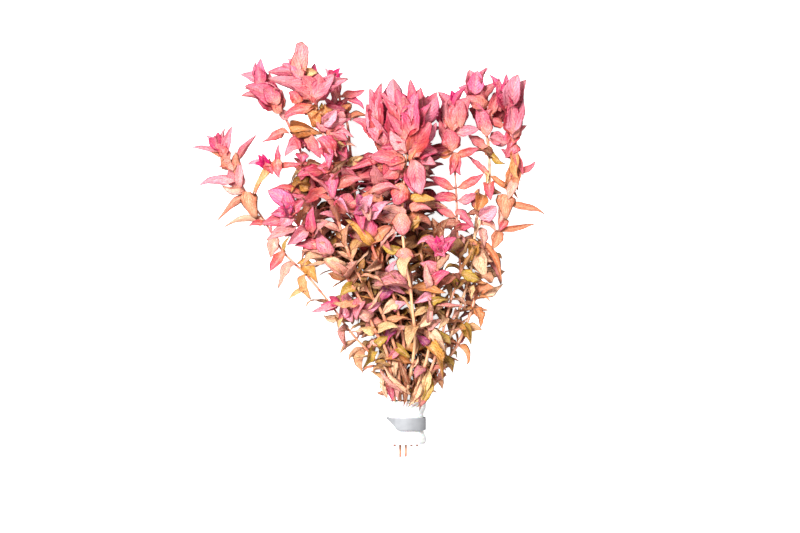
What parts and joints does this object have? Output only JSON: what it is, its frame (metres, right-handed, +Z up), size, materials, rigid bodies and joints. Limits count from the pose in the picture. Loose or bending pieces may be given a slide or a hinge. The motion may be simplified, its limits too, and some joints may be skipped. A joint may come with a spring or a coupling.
{
  "type": "bunch of rotala aquarium plant",
  "caption": "Lying bunch of leafy red rotala stems with rosette crowns, held near the cut ends by a foam wrap and a lead strip",
  "frame": {"origin": "on the surface the bunch lies on, under the middle of its bounding box", "axes": "+X across the bunch to the right as seen from above with the crowns away from the viewer, +Y from the cut stem ends towards the crowns, +Z up from the surface"},
  "size_m": [0.2072, 0.2496, 0.0576],
  "materials": {
    "stem": "satin",
    "crown": "satin",
    "foam": "matte",
    "lead": "dull"
  },
  "bodies": {
    "root": {"foam_wrap": "foam", "lead_strip": "lead", "stem_01": "stem", "stem_02": "stem", "stem_03": "stem", "stem_04": "stem", "stem_05": "stem", "stem_06": "stem", "stem_07": "stem", "stem_08": "stem", "stem_09": "stem", "stem_10": "stem", "stem_11": "stem", "stem_12": "stem", "stem_13": "stem", "stem_14": "stem", "stem_15": "stem", "crown_01": "crown", "crown_02": "crown", "crown_03": "crown", "crown_04": "crown", "crown_05": "crown", "crown_06": "crown", "crown_07": "crown", "crown_08": "crown", "crown_09": "crown", "crown_10": "crown", "crown_11": "crown", "crown_12": "crown", "crown_13": "crown", "crown_14": "crown", "crown_15": "crown"}
  },
  "joints": []
}
